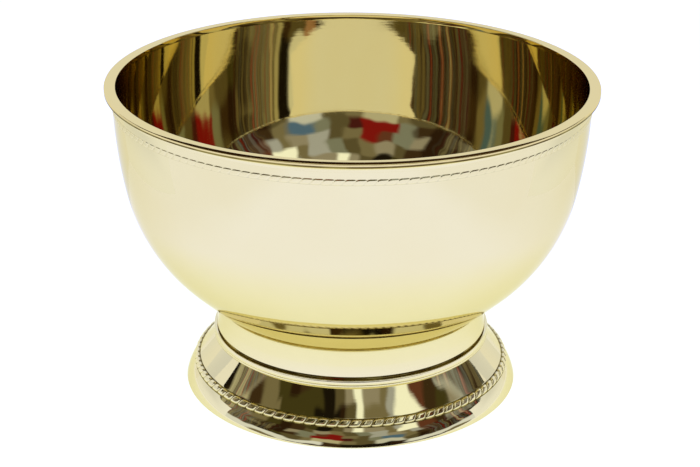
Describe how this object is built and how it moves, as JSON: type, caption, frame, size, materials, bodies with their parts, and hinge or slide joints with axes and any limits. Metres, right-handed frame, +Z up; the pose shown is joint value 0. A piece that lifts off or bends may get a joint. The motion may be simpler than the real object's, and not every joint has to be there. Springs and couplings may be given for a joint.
{
  "type": "baptismal font",
  "caption": "Table-top baptismal font: a wide polished bowl with a flat rim and a rope moulding, on a short collar and a flared round foot.",
  "frame": {"origin": "middle of the face that the foot stands on", "axes": "+Z up along the bowl's axis"},
  "size_m": [0.26, 0.26, 0.1704],
  "materials": {
    "polished_brass": "pale gold plated, mirror polished",
    "rope_brass": "pale gold plated, polished, dark in the recesses",
    "inner_brass": "satin, as spun",
    "plated_steel": "zinc plated, satin"
  },
  "bodies": {
    "root": {"bowl": "polished_brass", "rim_ring": "polished_brass", "bowl_rope_band": "rope_brass", "neck_collar": "polished_brass", "neck_bead": "polished_brass", "foot_shell": "polished_brass", "foot_rope_band": "rope_brass", "foot_edge_ring": "inner_brass", "foot_ledge_ring": "inner_brass", "bowl_boss": "inner_brass", "clamp_stud": "plated_steel", "clamp_plate": "plated_steel", "plain_washer": "plated_steel", "spring_washer": "plated_steel", "clamp_nut": "plated_steel"}
  },
  "joints": []
}
